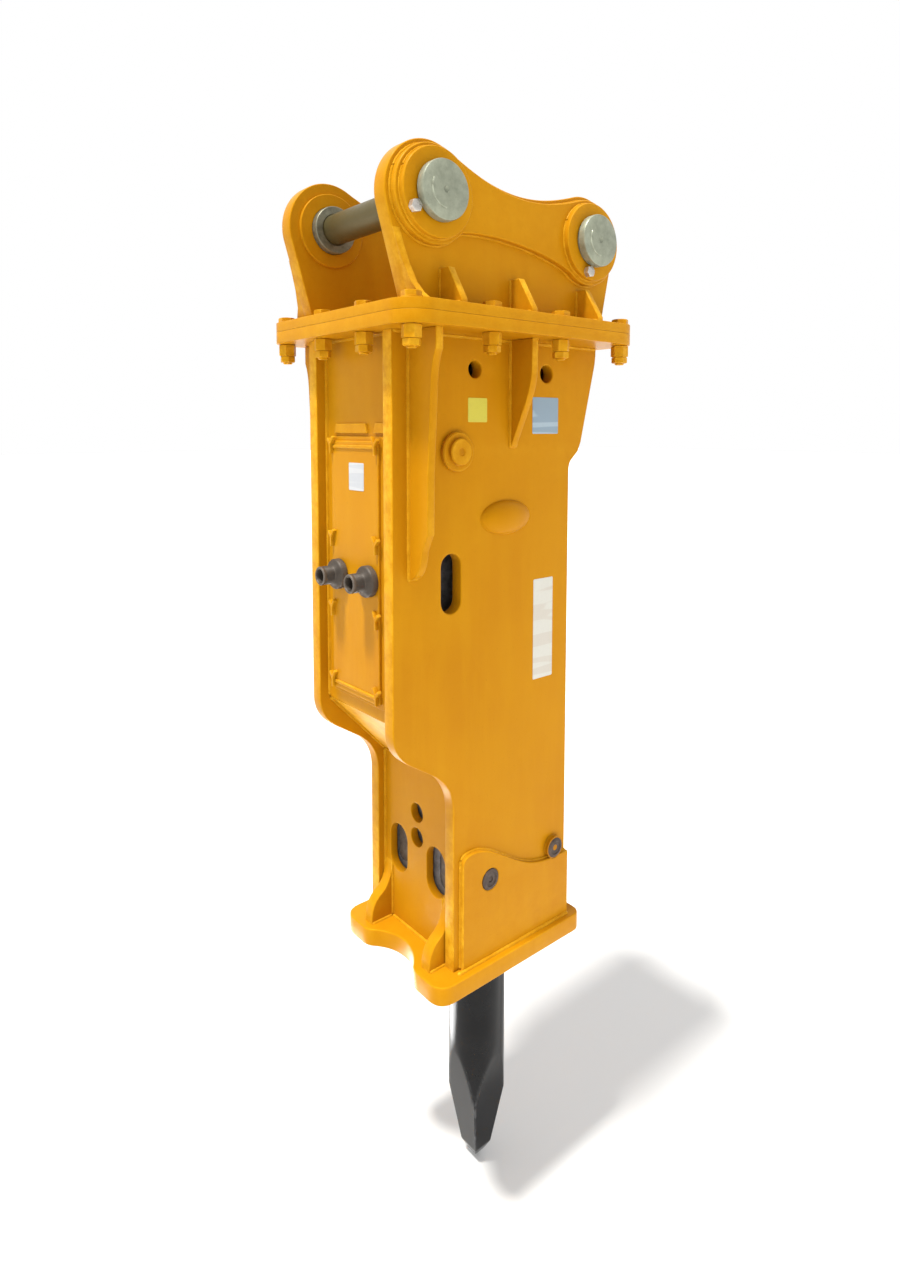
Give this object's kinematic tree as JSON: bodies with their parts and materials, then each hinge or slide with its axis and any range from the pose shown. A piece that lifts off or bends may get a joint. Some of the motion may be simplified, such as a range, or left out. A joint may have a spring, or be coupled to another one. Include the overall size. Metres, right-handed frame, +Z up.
{
  "type": "hydraulic breaker hammer",
  "caption": "Box-housing hydraulic breaker with a bolted two-pin top bracket, a striking piston inside and a sliding chisel with a four-sided point.",
  "frame": {"origin": "middle of the stick pin, on its axis, halfway between the bracket ears", "axes": "+Z up along the tool axis; +Y along both bracket pins, from their headed ends; -X towards the hose fittings"},
  "size_m": [0.671, 0.536, 2.393],
  "materials": {
    "yellow_paint": "semi-gloss orange-peel paint on welded plate",
    "plated_steel": "dull grey-green plating",
    "bare_steel": "grey-brown machined steel",
    "cast_body": "dark machined casting",
    "black_rubber": "matt",
    "tool_steel": "gloss black lacquer on forged steel"
  },
  "bodies": {
    "housing": {"bracket_base_plate": "yellow_paint", "bracket_ear_near": "yellow_paint", "bracket_ear_far": "yellow_paint", "bracket_cheek_near": "yellow_paint", "bracket_cheek_far": "yellow_paint", "housing_top_flange": "yellow_paint", "housing_side_plate_near": "yellow_paint", "housing_side_plate_far": "yellow_paint", "housing_front_wall": "yellow_paint", "housing_step_plate": "yellow_paint", "housing_lower_front_wall": "yellow_paint", "housing_rear_wall": "yellow_paint", "housing_bottom_plate": "yellow_paint", "lower_doubler_near": "yellow_paint", "lower_doubler_far": "yellow_paint", "port_cover": "yellow_paint", "side_damper_near": "yellow_paint", "side_damper_far": "yellow_paint", "flange_bolt_01": "yellow_paint", "flange_bolt_02": "yellow_paint", "flange_bolt_03": "yellow_paint", "flange_bolt_04": "yellow_paint", "flange_bolt_05": "yellow_paint", "flange_bolt_06": "yellow_paint", "flange_bolt_07": "yellow_paint", "flange_bolt_08": "yellow_paint", "flange_bolt_09": "yellow_paint", "flange_bolt_10": "yellow_paint", "flange_bolt_11": "yellow_paint", "flange_bolt_12": "yellow_paint", "stick_pin": "plated_steel", "link_pin": "plated_steel", "stick_pin_lock_bolt": "plated_steel", "link_pin_lock_bolt": "plated_steel", "gas_charging_valve": "plated_steel", "stick_bush_near": "bare_steel", "stick_bush_far": "bare_steel", "link_bush_near": "bare_steel", "link_bush_far": "bare_steel", "hose_fitting_pressure": "bare_steel", "hose_fitting_return": "bare_steel", "through_bolt_1": "bare_steel", "through_bolt_2": "bare_steel", "through_bolt_3": "bare_steel", "through_bolt_4": "bare_steel", "tool_bushing_upper": "bare_steel", "tool_bushing_lower": "bare_steel", "rod_pin_near": "bare_steel", "rod_pin_far": "bare_steel", "back_head": "cast_body", "cylinder": "cast_body", "front_head": "cast_body", "control_valve_block": "cast_body", "accumulator": "cast_body", "top_damper": "black_rubber", "stop_pin_front": "black_rubber", "stop_pin_rear": "black_rubber"},
    "chisel": {"chisel": "tool_steel"},
    "piston": {"piston": "plated_steel"},
    "valve_spool": {"valve_spool": "plated_steel"}
  },
  "joints": [
    {"name": "chisel_slide", "type": "slide", "parent": "housing", "child": "chisel", "axis": [0, 0, 1], "range_m": [0, 0.07]},
    {"name": "piston_slide", "type": "slide", "parent": "housing", "child": "piston", "axis": [0, 0, 1], "range_m": [0, 0.12]},
    {"name": "valve_spool_slide", "type": "slide", "parent": "housing", "child": "valve_spool", "axis": [0, 0, 1], "range_m": [0, 0.03]}
  ]
}
